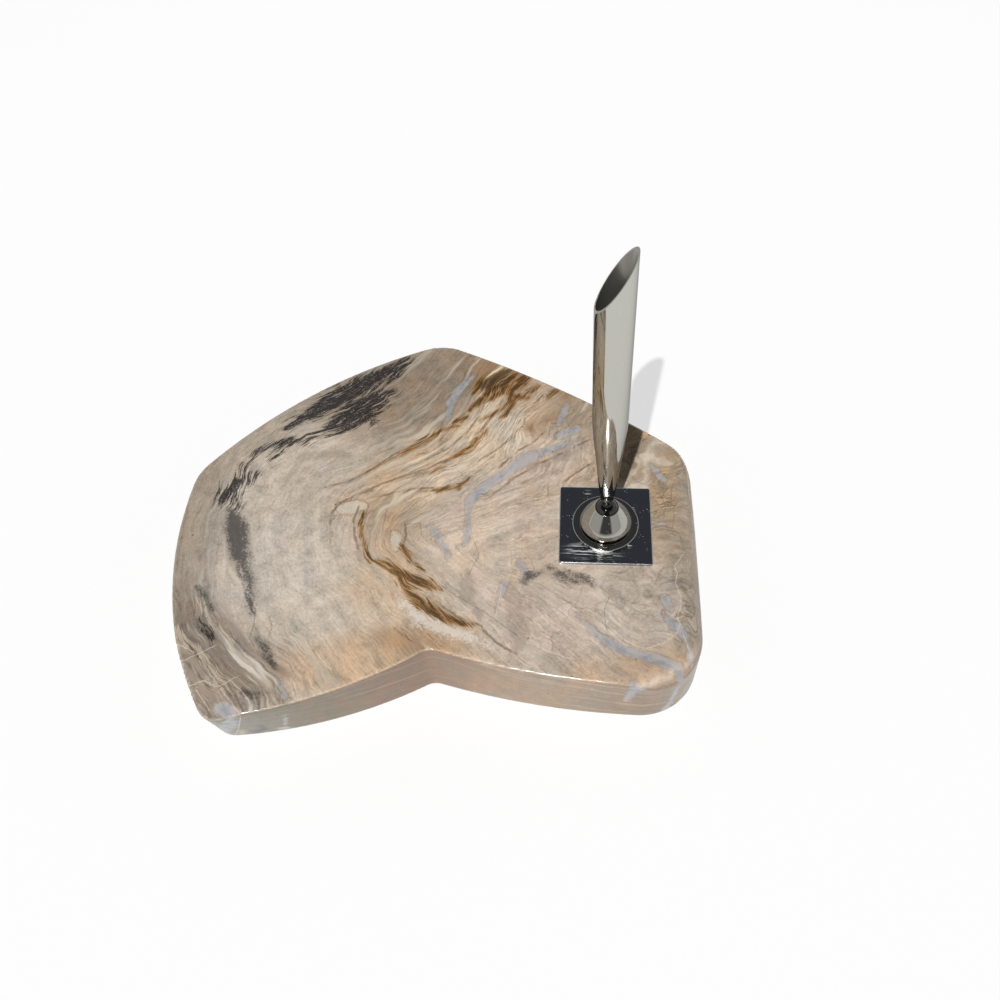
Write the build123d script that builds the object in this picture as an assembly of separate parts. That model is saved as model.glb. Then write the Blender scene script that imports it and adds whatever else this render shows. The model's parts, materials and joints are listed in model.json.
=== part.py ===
"""Pen stand: a polished stone slab, a chromed swivel socket and a long pen funnel.

Millimetres, +Z up, +Y away from the viewer. Every piece is drawn about the upright axis of the
swivel socket, with the desk at Z = 0. One move at the end puts the origin under the slab's middle.
"""

import os
from math import cos, radians, sin, sqrt, tan

from build123d import *

# Stone slab. The length and width go from corner to corner before the corners are rounded.
# Each corner has a place, a rounding and the outward bulge of the side that follows it. A place is
# a share of the length from the right-hand end and a share of the width from the front.
# Where the wall leans, the corner also has the step from its top to its foot.
SLAB_LENGTH = 197.4
SLAB_WIDTH = 178.3
SLAB_THICKNESS = 25.0
SOCKET_FROM_RIGHT = 33.8
SOCKET_FROM_FRONT = 83.5
LEFT_CORNER = (1.0, 0.589)
LEFT_ROUNDING = 20.0
LEFT_FRONT_BULGE = 10.0
FRONT_CORNER = (0.8703, 0.0)
FRONT_ROUNDING = 9.0
FRONT_NOTCH_BULGE = 4.5
FRONT_FOOT = (0.5, 4.4)
NOTCH_CORNER = (0.4878, 0.1683)
NOTCH_ROUNDING = 7.0
NOTCH_RIGHT_BULGE = 4.0
NOTCH_FOOT = (0.0, -1.8)
RIGHT_FRONT_CORNER = (0.0, 0.1038)
RIGHT_FRONT_ROUNDING = 22.0
RIGHT_BULGE = 0.8
RIGHT_BACK_CORNER = (0.0, 0.6618)
RIGHT_BACK_ROUNDING = 23.0
BACK_RIGHT_BULGE = 4.0
BACK_CORNER = (0.5258, 1.0)
BACK_ROUNDING = 18.0
BACK_LEFT_BULGE = 9.2
UPRIGHT = (0.0, 0.0)
SLAB_EDGE_ROUNDING = 0.8
SHOULDER_ROUNDING = 8.0
SHOULDER_OVERHANG = 0.5
SHOULDER_TURN = 25.0
FACET_REACH = 12.0
FACET_SLOPE = 20.0
FACET_TURN = 44.0

# Felt pads under the slab, with places as for its corners
PAD_RADIUS = 8.0
PAD_THICKNESS = 1.5
PAD_LEFT_FRONT = (0.79, 0.143)
PAD_LEFT_BACK = (0.84, 0.625)
PAD_RIGHT_FRONT = (0.12, 0.222)
PAD_RIGHT_BACK = (0.13, 0.625)

# Cover plate
PLATE_SIDE = 35.0
PLATE_THICKNESS = 1.0
PLATE_CORNER_ROUNDING = 0.8
PLATE_EDGE_ROUNDING = 0.3

# Socket dome: a rim, a bulging cone and a rounded lip that holds the ball down
DOME_RIM_RADIUS = 9.7
DOME_RIM_WALL = 1.5
DOME_RIM_HEIGHT = 0.9
DOME_RIM_ROUNDING = 0.3
DOME_GROOVE = 0.7
DOME_GRIP = 2.6
DOME_LIP_WIDTH = 1.85
DOME_LIP_DROP = 0.9
DOME_BULGE = 0.45

# Socket base: flange on the plate, boss inside the dome and threaded hub through the plate
FLANGE_LEDGE = 2.8
FLANGE_HEIGHT = 1.5
FLANGE_EDGE_ROUNDING = 0.7
POCKET_RISE = 0.7
BOSS_GUIDE = 2.0
HUB_WALL = 1.9
HUB_DEPTH = 6.0

# Swivel ball with its neck, its seat and the spring under the seat
BALL_RADIUS = 4.75
NECK_WALL = 0.45
NECK_LENGTH = 2.25
SEAT_INSET = 0.15
SEAT_FLOOR = 1.17
SEAT_HEIGHT = 3.4
SPRING_HEIGHT = 1.2
SPRING_STRIP = 0.5
SPRING_INSET = 0.1

# Pen funnel, with its heights above its own bottom
FUNNEL_LEAN = 1.6
FUNNEL_TURN = 90.0
FUNNEL_END_RADIUS = 2.3
FUNNEL_END_ROUNDING = 1.5
FUNNEL_THROAT_HEIGHT = 6.0
FUNNEL_THROAT_RADIUS = 3.0
FUNNEL_THROAT_ROUNDING = 11.0
FUNNEL_SHOULDER_HEIGHT = 42.7
FUNNEL_SHOULDER_RADIUS = 5.97
FUNNEL_SHOULDER_ROUNDING = 120.0
FUNNEL_HEIGHT = 115.1
FUNNEL_MOUTH_RADIUS = 6.1
FUNNEL_WALL = 0.5
MOUTH_SLOPE = 60.0
MOUTH_TURN = -88.0

# Screw inside the funnel and the bush that it bears on
SCREW_RADIUS = 1.25
SCREW_HEAD_OVERLAP = 0.85
SCREW_HEAD_HEIGHT = 1.5
SCREW_SLOT_WIDTH = 0.6
SCREW_SLOT_DEPTH = 0.7
SCREW_ENGAGEMENT = 6.5
BUSH_HEIGHT = 4.2

# Fastening through the slab, in the proportions of a standard nut and its washers
STUD_RADIUS = 2.0
STUD_BEYOND_NUT = 1.3
NUT_ACROSS_FLATS = 3.5 * STUD_RADIUS
NUT_HEIGHT = 1.6 * STUD_RADIUS
NUT_CHAMFER_ANGLE = 30.0
LOCK_WASHER_RADIUS = 1.9 * STUD_RADIUS
LOCK_WASHER_THICKNESS = 1.0
LOCK_WASHER_GAP = 0.9
LOCK_WASHER_SLANT = 30.0
WASHER_OVERLAP = 2.5
WASHER_THICKNESS = 1.0
NUT_RECESS = 2.5
SPANNER_ROOM = 3.0

# Clearances
BALL_CLEARANCE = 0.08
SEAT_CLEARANCE = 0.12
HUB_CLEARANCE = 0.1
SLAB_HOLE_CLEARANCE = 0.6
SCREW_CLEARANCE = 0.1
WASHER_CLEARANCE = 0.15
THREAD_END_CLEARANCE = 0.5
CUT_MARGIN = 5.0

# Radii that follow from the sizes above
CUP_RADIUS = BALL_RADIUS + BALL_CLEARANCE
SEAT_RADIUS = BALL_RADIUS - SEAT_INSET
BOSS_RADIUS = DOME_RIM_RADIUS - DOME_RIM_WALL
FLANGE_RADIUS = DOME_RIM_RADIUS + FLANGE_LEDGE
HUB_RADIUS = STUD_RADIUS + HUB_WALL
SLAB_HOLE_RADIUS = HUB_RADIUS + SLAB_HOLE_CLEARANCE
WASHER_HOLE_RADIUS = STUD_RADIUS + WASHER_CLEARANCE
WASHER_RADIUS = SLAB_HOLE_RADIUS + WASHER_OVERLAP
COUNTERBORE_RADIUS = WASHER_RADIUS + SPANNER_ROOM
NECK_RADIUS = SCREW_RADIUS + NECK_WALL
SCREW_HOLE_RADIUS = SCREW_RADIUS + SCREW_CLEARANCE

# Heights above the desk, from the underside up
SLAB_BOTTOM = PAD_THICKNESS
STUD_BOTTOM = SLAB_BOTTOM + NUT_RECESS
NUT_BOTTOM = STUD_BOTTOM + STUD_BEYOND_NUT
LOCK_WASHER_BOTTOM = NUT_BOTTOM + NUT_HEIGHT
WASHER_BOTTOM = LOCK_WASHER_BOTTOM + LOCK_WASHER_THICKNESS
COUNTERBORE_TOP = WASHER_BOTTOM + WASHER_THICKNESS
SLAB_TOP = SLAB_BOTTOM + SLAB_THICKNESS
PLATE_TOP = SLAB_TOP + PLATE_THICKNESS
HUB_BOTTOM = PLATE_TOP - HUB_DEPTH
FLANGE_TOP = PLATE_TOP + FLANGE_HEIGHT
POCKET_FLOOR = FLANGE_TOP + POCKET_RISE
SEAT_BOTTOM = POCKET_FLOOR + SPRING_HEIGHT
BOSS_TOP = SEAT_BOTTOM + BOSS_GUIDE
BALL_CENTRE = SEAT_BOTTOM + SEAT_FLOOR + CUP_RADIUS
DOME_BOTTOM = FLANGE_TOP + DOME_GROOVE
DOME_TOP = BALL_CENTRE + DOME_GRIP

# Distances along the funnel's axis from the ball's centre
NECK_TOP = BALL_RADIUS + NECK_LENGTH
BUSH_TOP = NECK_TOP + FUNNEL_WALL + BUSH_HEIGHT
FUNNEL_THROAT = NECK_TOP + FUNNEL_THROAT_HEIGHT
FUNNEL_SHOULDER = NECK_TOP + FUNNEL_SHOULDER_HEIGHT
FUNNEL_TOP = NECK_TOP + FUNNEL_HEIGHT

SLAB_CORNERS = [
    (LEFT_CORNER, LEFT_ROUNDING, LEFT_FRONT_BULGE, UPRIGHT),
    (FRONT_CORNER, FRONT_ROUNDING, FRONT_NOTCH_BULGE, FRONT_FOOT),
    (NOTCH_CORNER, NOTCH_ROUNDING, NOTCH_RIGHT_BULGE, NOTCH_FOOT),
    (RIGHT_FRONT_CORNER, RIGHT_FRONT_ROUNDING, RIGHT_BULGE, UPRIGHT),
    (RIGHT_BACK_CORNER, RIGHT_BACK_ROUNDING, BACK_RIGHT_BULGE, UPRIGHT),
    (BACK_CORNER, BACK_ROUNDING, BACK_LEFT_BULGE, UPRIGHT),
]

PADS = {
    "felt_pad_left_front": PAD_LEFT_FRONT,
    "felt_pad_left_back": PAD_LEFT_BACK,
    "felt_pad_right_front": PAD_RIGHT_FRONT,
    "felt_pad_right_back": PAD_RIGHT_BACK,
}


def turned(outline):
    """Solid of revolution about Z from a closed outline drawn as (radius, height)."""
    return revolve(Plane.XZ * make_face(outline), Axis.Z)


def disc(radius, bottom, top):
    """Upright cylinder on the Z axis between two heights."""
    return Pos(0, 0, bottom) * Cylinder(radius, top - bottom, align=(Align.CENTER, Align.CENTER, Align.MIN))


def ring(outer, inner, bottom, top):
    """Upright round collar on the Z axis between two heights."""
    return disc(outer, bottom, top) - disc(inner, bottom, top)


def on_slab(place):
    """Point about the socket's axis for a place given in shares of the slab's length and width."""
    return Vector(SOCKET_FROM_RIGHT - place[0] * SLAB_LENGTH, place[1] * SLAB_WIDTH - SOCKET_FROM_FRONT)


def slab_outline(foot_share):
    """The slab seen from above: bulging sides between rounded corners, with a share of each foot step."""
    places = [on_slab(place) + Vector(*foot) * foot_share for place, _, _, foot in SLAB_CORNERS]
    sides = []
    for index, (_, _, bulge, _) in enumerate(SLAB_CORNERS):
        start = places[index]
        end = places[(index + 1) % len(places)]
        along = (end - start).normalized()
        outward = Vector(along.Y, -along.X)
        sides.append(ThreePointArc(start, (start + end) * 0.5 + outward * bulge, end))
    face = make_face(sides)
    for place, (_, rounding, _, _) in zip(places, SLAB_CORNERS):
        corner = face.vertices().sort_by_distance(place)[0]
        face = fillet(corner, rounding)
    return face


def shoulder_block(box):
    """Long block that is rounded over along the slab's right side and round its front corner."""
    radius = RIGHT_FRONT_ROUNDING + SHOULDER_OVERHANG
    right = box.max.X + SHOULDER_OVERHANG
    turn = radians(SHOULDER_TURN)
    corner = on_slab(RIGHT_FRONT_CORNER)
    front = corner.Y + RIGHT_FRONT_ROUNDING - radius * (1 - sin(turn)) / cos(turn)
    left = box.min.X - CUT_MARGIN
    back = box.max.Y + CUT_MARGIN
    outline = FilletPolyline(
        (right, back),
        (right, front),
        (left, front - (right - left) * tan(turn)),
        (left, back),
        close=True,
        radius=(0, radius, 0, 0),
    )
    block = extrude(Pos(0, 0, SLAB_BOTTOM - CUT_MARGIN) * make_face(outline), SLAB_THICKNESS + CUT_MARGIN)
    rim = block.edges().group_by(Axis.Z)[-1].sort_by(Axis.X)
    return fillet(rim[1:], SHOULDER_ROUNDING)


def stone_slab(top, foot):
    """Slab with eased edges, a rounded right-hand shoulder, a ground corner and the drilled fixing."""
    slab = loft([Pos(0, 0, SLAB_BOTTOM) * foot, Pos(0, 0, SLAB_TOP) * top], ruled=True)
    levels = slab.edges().group_by(Axis.Z)
    slab = fillet(levels[0] + levels[-1], SLAB_EDGE_ROUNDING)
    slab = slab & shoulder_block(top.bounding_box())

    # The front corner is ground off by a sloping plane
    away = Vector(-sin(radians(FACET_TURN)), -cos(radians(FACET_TURN)))
    start = on_slab(FRONT_CORNER) - away * FACET_REACH
    facet = Plane(
        origin=(start.X, start.Y, SLAB_TOP),
        z_dir=away * sin(radians(FACET_SLOPE)) + Vector(0, 0, cos(radians(FACET_SLOPE))),
    )
    slab = split(slab, facet, Keep.BOTTOM)

    slab -= disc(SLAB_HOLE_RADIUS, SLAB_BOTTOM, SLAB_TOP)
    slab -= disc(COUNTERBORE_RADIUS, SLAB_BOTTOM, COUNTERBORE_TOP)
    return slab


def felt_pad(place):
    """Round felt pad stuck to the slab's underside."""
    return Pos(on_slab(place)) * disc(PAD_RADIUS, 0, PAD_THICKNESS)


def cover_plate():
    """Square plate with a hole for the socket's hub."""
    square = RectangleRounded(PLATE_SIDE, PLATE_SIDE, PLATE_CORNER_ROUNDING)
    plate = extrude(Pos(0, 0, SLAB_TOP) * square, PLATE_THICKNESS)
    plate = fillet(plate.edges().group_by(Axis.Z)[-1], PLATE_EDGE_ROUNDING)
    return plate - disc(HUB_RADIUS + HUB_CLEARANCE, SLAB_TOP, PLATE_TOP)


def socket_base():
    """Flange on the plate, boss inside the dome and threaded hub down into the slab's hole."""
    flange = disc(FLANGE_RADIUS, PLATE_TOP, FLANGE_TOP)
    flange = fillet(flange.edges().group_by(Axis.Z)[-1], FLANGE_EDGE_ROUNDING)
    base = flange + disc(BOSS_RADIUS, PLATE_TOP, BOSS_TOP) + disc(HUB_RADIUS, HUB_BOTTOM, PLATE_TOP)
    base -= disc(SEAT_RADIUS + SEAT_CLEARANCE, POCKET_FLOOR, BOSS_TOP)
    return base - disc(STUD_RADIUS, HUB_BOTTOM, POCKET_FLOOR)


def socket_dome():
    """Bell over the ball: a rim on the boss, a bulging cone and a rounded lip round the hole."""
    hole = sqrt(CUP_RADIUS**2 - DOME_GRIP**2)
    rim = Vector(DOME_RIM_RADIUS, DOME_BOTTOM + DOME_RIM_HEIGHT)
    shoulder = Vector(hole + DOME_LIP_WIDTH, DOME_TOP - DOME_LIP_DROP)
    slope = (shoulder - rim).normalized()
    middle = (rim + shoulder) * 0.5 + Vector(slope.Y, -slope.X) * DOME_BULGE
    cone = ThreePointArc(rim, middle, shoulder)
    bell = turned(
        [
            Polyline((0, DOME_BOTTOM), (DOME_RIM_RADIUS, DOME_BOTTOM), rim),
            cone,
            TangentArc(shoulder, (hole, DOME_TOP), tangent=cone % 1),
            Polyline((hole, DOME_TOP), (0, DOME_TOP), (0, DOME_BOTTOM)),
        ]
    )
    bell = fillet(bell.edges().group_by(Axis.Z)[0], DOME_RIM_ROUNDING)
    bell -= disc(BOSS_RADIUS, DOME_BOTTOM, BOSS_TOP)
    bell -= disc(CUP_RADIUS, DOME_BOTTOM, BALL_CENTRE)
    return bell - Pos(0, 0, BALL_CENTRE) * Sphere(CUP_RADIUS)


def ball_seat():
    """Cup that holds the ball from below and turns with it in the boss."""
    seat = disc(SEAT_RADIUS, SEAT_BOTTOM, SEAT_BOTTOM + SEAT_HEIGHT)
    return seat - Pos(0, 0, BALL_CENTRE) * Sphere(CUP_RADIUS)


def disc_spring():
    """Coned spring washer between the pocket's floor and the seat."""
    outer = SEAT_RADIUS - SPRING_INSET
    inner = STUD_RADIUS + THREAD_END_CLEARANCE
    return turned(
        Polyline(
            (outer, POCKET_FLOOR),
            (outer, POCKET_FLOOR + SPRING_STRIP),
            (inner, SEAT_BOTTOM),
            (inner, SEAT_BOTTOM - SPRING_STRIP),
            close=True,
        )
    )


def funnel_body(inset):
    """Solid of the funnel's outline set in by a wall, drawn beyond the mouth, which isn't cut yet."""
    spare = FUNNEL_MOUTH_RADIUS * tan(radians(MOUTH_SLOPE))
    taper = (FUNNEL_MOUTH_RADIUS - FUNNEL_SHOULDER_RADIUS) / (FUNNEL_TOP - FUNNEL_SHOULDER)
    bottom = NECK_TOP + inset
    top = (FUNNEL_MOUTH_RADIUS + taper * spare - inset, FUNNEL_TOP + spare)
    side = FilletPolyline(
        (0, bottom),
        (FUNNEL_END_RADIUS - inset, bottom),
        (FUNNEL_THROAT_RADIUS - inset, FUNNEL_THROAT),
        (FUNNEL_SHOULDER_RADIUS - inset, FUNNEL_SHOULDER),
        top,
        radius=(FUNNEL_END_ROUNDING - inset, FUNNEL_THROAT_ROUNDING, FUNNEL_SHOULDER_ROUNDING),
    )
    return turned([side, Polyline(top, (0, top[1]), (0, bottom))])


def pen_funnel():
    """Thin tube with a bullet-shaped end and a slanting mouth."""
    funnel = funnel_body(0) - funnel_body(FUNNEL_WALL)
    funnel -= disc(SCREW_HOLE_RADIUS, NECK_TOP, BUSH_TOP)
    rise = tan(radians(MOUTH_SLOPE))
    towards = Vector(cos(radians(MOUTH_TURN)), sin(radians(MOUTH_TURN)))
    middle = FUNNEL_TOP - rise * FUNNEL_MOUTH_RADIUS
    mouth = Plane(origin=(0, 0, middle), z_dir=Vector(0, 0, 1) - towards * rise)
    return split(funnel, mouth, Keep.BOTTOM)


def end_bush():
    """Bush that fills the funnel's end under the screw's head."""
    bush = funnel_body(FUNNEL_WALL) & disc(FUNNEL_SHOULDER_RADIUS, NECK_TOP, BUSH_TOP)
    return bush - disc(SCREW_HOLE_RADIUS, NECK_TOP, BUSH_TOP)


def swivel_ball():
    """Ball with the short neck that the funnel stands on, drilled for the screw."""
    ball = Sphere(BALL_RADIUS) + disc(NECK_RADIUS, 0, NECK_TOP)
    return ball - disc(SCREW_RADIUS, NECK_TOP - SCREW_ENGAGEMENT - THREAD_END_CLEARANCE, NECK_TOP)


def funnel_screw():
    """Slotted screw from inside the funnel into the ball."""
    shank = disc(SCREW_RADIUS, NECK_TOP - SCREW_ENGAGEMENT, BUSH_TOP)
    head_radius = SCREW_RADIUS + SCREW_HEAD_OVERLAP
    head_top = BUSH_TOP + SCREW_HEAD_HEIGHT
    head = disc(head_radius, BUSH_TOP, head_top)
    head = fillet(head.edges().group_by(Axis.Z)[-1], SCREW_HEAD_HEIGHT / 2)
    slot = Pos(0, 0, head_top) * Box(2 * head_radius, SCREW_SLOT_WIDTH, 2 * SCREW_SLOT_DEPTH)
    return shank + head - slot


def leaning(piece):
    """A piece drawn upright about the ball's centre, moved to the socket, leant and turned."""
    return Pos(0, 0, BALL_CENTRE) * Rot(0, 0, FUNNEL_TURN) * Rot(-FUNNEL_LEAN, 0, 0) * piece


def lock_washer():
    """Spring washer: a ring with one slanting gap."""
    washer = ring(LOCK_WASHER_RADIUS, WASHER_HOLE_RADIUS, LOCK_WASHER_BOTTOM, WASHER_BOTTOM)
    gap = Box(
        LOCK_WASHER_RADIUS,
        LOCK_WASHER_GAP,
        LOCK_WASHER_RADIUS,
        align=(Align.MIN, Align.CENTER, Align.CENTER),
    )
    middle = (LOCK_WASHER_BOTTOM + WASHER_BOTTOM) / 2
    return washer - Pos(0, 0, middle) * Rot(LOCK_WASHER_SLANT, 0, 0) * gap


def hex_nut():
    """Hexagon nut with its corners turned off at both faces."""
    flat = NUT_ACROSS_FLATS / 2
    hexagon = RegularPolygon(flat, 6, major_radius=False)
    nut = extrude(Pos(0, 0, NUT_BOTTOM) * hexagon, NUT_HEIGHT)
    bevel = NUT_HEIGHT / 2 / tan(radians(NUT_CHAMFER_ANGLE))
    blank = turned(
        Polyline(
            (0, NUT_BOTTOM),
            (flat, NUT_BOTTOM),
            (flat + bevel, NUT_BOTTOM + NUT_HEIGHT / 2),
            (flat, LOCK_WASHER_BOTTOM),
            (0, LOCK_WASHER_BOTTOM),
            close=True,
        )
    )
    return (nut & blank) - disc(STUD_RADIUS, NUT_BOTTOM, LOCK_WASHER_BOTTOM)


top_outline = slab_outline(0)
foot_outline = slab_outline(1)
pieces = {
    "stone_slab": stone_slab(top_outline, foot_outline),
    "cover_plate": cover_plate(),
    "socket_base": socket_base(),
    "socket_dome": socket_dome(),
    "disc_spring": disc_spring(),
    "ball_seat": ball_seat(),
    "swivel_ball": leaning(swivel_ball()),
    "funnel_screw": leaning(funnel_screw()),
    "end_bush": leaning(end_bush()),
    "pen_funnel": leaning(pen_funnel()),
    "mounting_stud": disc(STUD_RADIUS, STUD_BOTTOM, POCKET_FLOOR - THREAD_END_CLEARANCE),
    "clamp_washer": ring(WASHER_RADIUS, WASHER_HOLE_RADIUS, WASHER_BOTTOM, COUNTERBORE_TOP),
    "lock_washer": lock_washer(),
    "hex_nut": hex_nut(),
}
for name, place in PADS.items():
    pieces[name] = felt_pad(place)

middle = (top_outline + foot_outline).bounding_box().center()
os.makedirs("parts", exist_ok=True)
for name, piece in pieces.items():
    export_step(Pos(-middle.X, -middle.Y, 0) * piece, f"parts/{name}.step")
print("socket axis at", round(-middle.X, 3), round(-middle.Y, 3), "ball centre height", BALL_CENTRE)
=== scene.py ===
# %% [markdown]
# # A pen stand on a slab of petrified wood
# The real object is a thick polished slice of petrified wood. A square chromed plate lies on it, a
# domed socket stands on the plate, and a long chromed funnel for one pen swivels in the socket.
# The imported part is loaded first. It is the fixed frame, and every new piece is built around it.

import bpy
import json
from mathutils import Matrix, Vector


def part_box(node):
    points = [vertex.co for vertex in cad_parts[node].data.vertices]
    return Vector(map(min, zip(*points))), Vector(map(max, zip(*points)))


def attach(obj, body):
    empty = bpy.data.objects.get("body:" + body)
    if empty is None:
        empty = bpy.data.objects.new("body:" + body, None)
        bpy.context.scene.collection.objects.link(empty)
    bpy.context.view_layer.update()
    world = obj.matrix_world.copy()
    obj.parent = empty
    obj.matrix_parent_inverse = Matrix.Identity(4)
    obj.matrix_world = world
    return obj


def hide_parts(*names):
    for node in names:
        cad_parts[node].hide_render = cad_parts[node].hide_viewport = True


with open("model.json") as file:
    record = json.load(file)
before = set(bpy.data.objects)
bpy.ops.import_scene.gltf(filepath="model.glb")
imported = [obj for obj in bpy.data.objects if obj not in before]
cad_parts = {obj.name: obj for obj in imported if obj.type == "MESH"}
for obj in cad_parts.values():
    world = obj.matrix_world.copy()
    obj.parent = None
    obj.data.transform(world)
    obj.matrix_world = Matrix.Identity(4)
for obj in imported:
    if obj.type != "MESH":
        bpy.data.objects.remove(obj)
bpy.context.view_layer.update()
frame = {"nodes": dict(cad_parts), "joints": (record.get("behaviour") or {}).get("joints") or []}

# %% Tools, units and short names
import json
from math import atan2, cos, pi, radians, sin, tan

import bmesh
import bpy
import numpy as np
from mathutils import Color, Matrix, Vector, noise

MM = 0.001
cad = frame["nodes"]
joints = {joint["name"]: joint for joint in frame["joints"]}


def placed(name, data):
    """A new object in the scene that shows this data."""
    item = bpy.data.objects.new(name, data)
    bpy.context.scene.collection.objects.link(item)
    return item


# %% [markdown]
# ## The camera
# A camera can be placed by eye, or worked out from something of known shape in the picture. Here the
# square plate's four corners gave the place, the three angles and the lens. The lens is given for a
# sensor 36 mm wide, and the shift stays at zero, so that other views frame the object well too.

# %% Camera
CAMERA_PLACE = Vector((47.96, -207.48, 328.73)) * MM
CAMERA_YAW, CAMERA_PITCH, CAMERA_ROLL = radians(6.314), radians(54.644), radians(-3.933)
SENSOR_WIDTH, FOCAL_LENGTH = 36.0, 34.2

lens = bpy.data.cameras.new("photo_camera")
lens.sensor_width, lens.lens = SENSOR_WIDTH, FOCAL_LENGTH
lens.clip_start, lens.clip_end = 0.01, 100.0
camera = placed("photo_camera", lens)
camera.matrix_world = (
    Matrix.Translation(CAMERA_PLACE)
    @ Matrix.Rotation(CAMERA_YAW, 4, "Z")
    @ Matrix.Rotation(pi / 2 - CAMERA_PITCH, 4, "X")
    @ Matrix.Rotation(CAMERA_ROLL, 4, "Z")
)
bpy.context.scene.camera = camera
print("camera stands", round(CAMERA_PLACE.length, 3), "m from the slab's middle")

# %% [markdown]
# ## The slab's mesh
# The slab is a stone with a free outline, leaning walls and one ground corner. The solid already has
# that shape, but its mesh is a few long triangles, which can't carry a painted pattern. A voxel remesh
# gives even small faces, and a shrinkwrap then pulls every point back to the solid's own surface.

# %% Slab mesh
GRID, SAME_POINT = 0.85 * MM, 0.001 * MM

slab = placed("polished_slab", cad["stone_slab"].data.copy())
merged = bmesh.new()
merged.from_mesh(slab.data)
bmesh.ops.remove_doubles(merged, verts=merged.verts, dist=SAME_POINT)
merged.to_mesh(slab.data)
merged.free()

even = slab.modifiers.new("even_faces", "REMESH")
even.mode = "VOXEL"
even.voxel_size = GRID
back = slab.modifiers.new("back_to_the_solid", "SHRINKWRAP")
back.target = cad["stone_slab"]
back.wrap_method = "NEAREST_SURFACEPOINT"
evaluated = slab.evaluated_get(bpy.context.evaluated_depsgraph_get())
even_mesh = bpy.data.meshes.new_from_object(evaluated)
slab.modifiers.clear()
slab.data = even_mesh
slab.data.materials.clear()
slab.data.shade_smooth()
print("slab:", len(slab.data.vertices), "points,", len(slab.data.polygons), "faces")

# %% [markdown]
# ## Reading and keeping values on the mesh
# A pattern that follows the stone is easiest to draw as values on the mesh's points. The points and
# their normals are read into arrays, in millimetres, and finished values go back as attributes, which
# the material reads by name. A slow drift is worked out once: it bends everything that is drawn, so
# that no line on the stone comes out straight. Its seed is fixed, so every run draws the same stone.

# %% Points of the slab
DRIFT_SEED, DRIFTS = 1, {0.017: 5.0, 0.06: 1.5}


def read(collection, field):
    """One vector for each point of the slab's mesh, as the rows of an array."""
    values = np.empty(len(collection) * 3)
    collection.foreach_get(field, values)
    return values.reshape(-1, 3)


spots = read(slab.data.vertices, "co") / MM
normals = read(slab.data.vertex_normals, "vector")
count = len(spots)
depth_below = spots[:, 2].max() - spots[:, 2]
noise.seed_set(DRIFT_SEED)
drift = sum(
    np.array([noise.noise_vector(Vector(p) * pace) for p in spots]) * reach for pace, reach in DRIFTS.items()
)
flat = spots[:, :2] + drift[:, :2]


def keep(name, values, kind="FLOAT"):
    """Store one value per point on the slab's mesh, for its material to read."""
    field = {"FLOAT": "value", "FLOAT_VECTOR": "vector", "FLOAT_COLOR": "color"}[kind]
    attribute = slab.data.attributes.new(name, kind, "POINT")
    attribute.data.foreach_set(field, np.ascontiguousarray(values, np.float32).ravel())


def climb(values, low, high):
    """0 at low, 1 at high, even between them."""
    return np.clip((values - low) / (high - low), 0, 1)


wall = 1 - climb(np.abs(normals[:, 2]), 0.3, 0.8)
keep("wall", wall)
keep("under", climb(-normals[:, 2], 0.3, 0.8))
# Painted highlight: the front edge of the top, where it slopes towards the light, is marked to be painted
# pale.
keep("ridge_highlight", np.exp(-(((normals[:, 2] - 0.8) / 0.14) ** 2)) * climb(-normals[:, 1], 0.1, 0.4))
print("points read, drift up to", round(np.abs(drift).max(), 1), "mm")

# %% [markdown]
# ## The grain
# Petrified wood keeps the growth rings of the tree. In this slice they are nested hairpins: round on
# the left, with two nearly straight arms that open to the right, and between the arms they fan out to
# a crease. Each point gets its way across the rings and its way along them. On the walls the layers
# lie flat, so there the way across is mostly the depth below the top.

# %% Grain across and along the rings, in millimetres
WEDGE_TIP = (-12.0, -10.0)
UPPER_ARM, LOWER_ARM, CREASE = radians(49.0), radians(43.0), radians(-20.0)
FAN_REACH, ARM_SAG, ARM_LENGTH = 34.0, 8.0, 80.0
LAYER_STEP, LAYER_SHARE = 1.4, 0.75

east, north = flat[:, 0] - WEDGE_TIP[0], flat[:, 1] - WEDGE_TIP[1]
radius, angle = np.hypot(east, north), np.arctan2(north, east)
arm = np.where(north > 0, UPPER_ARM, LOWER_ARM)
past = np.abs(angle) - arm
round_the_tip = (past - pi / 2) * (pi / 2 - (UPPER_ARM + LOWER_ARM) / 2) / (pi / 2 - arm)
across = np.where(past > pi / 2, radius, radius * np.sin(past))
along = np.where(past > pi / 2, -radius * round_the_tip, radius * np.cos(past))

fan = FAN_REACH * (1 - np.exp(-radius / FAN_REACH))
from_upper = fan * (UPPER_ARM - angle)
from_lower = fan * (angle + LOWER_ARM) * (UPPER_ARM - CREASE) / (CREASE + LOWER_ARM)
soft = 0.25 * fan
fanned = -(from_upper + from_lower - np.hypot(from_upper - from_lower, soft)) / 2
across = np.where(past < 0, fanned, across)
sag = ARM_SAG * np.sin(pi * np.clip(along / ARM_LENGTH, 0, 1)) * climb(angle, 0.0, 0.5)
across = across + sag * (1 - climb(np.abs(angle), 2.2, 2.6))
across = across + wall * (LAYER_STEP * depth_below - LAYER_SHARE * across)
keep("grain", np.stack([across, along, north], axis=1), "FLOAT_VECTOR")
print("grain: rings from", round(across.min()), "to", round(across.max()), "mm across")

# %% [markdown]
# ## The ground colours
# A painter lays broad soft areas of colour first and adds lines later. The same is done here: each
# zone has a middle, two reaches, a turn and a colour, then how strongly the grain shows in it and how
# warm its streaks are. A point takes the mean of the zones near it. The walls have zones of their own,
# because they are duller than the polished top.


# %% Ground colours
def paint(red, green, blue):
    """A colour as a paint chart gives it, 0 to 255, as Blender's linear colour."""
    linear = Color((red / 255, green / 255, blue / 255)).from_srgb_to_scene_linear()
    return (linear.r, linear.g, linear.b, 1.0)


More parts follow.
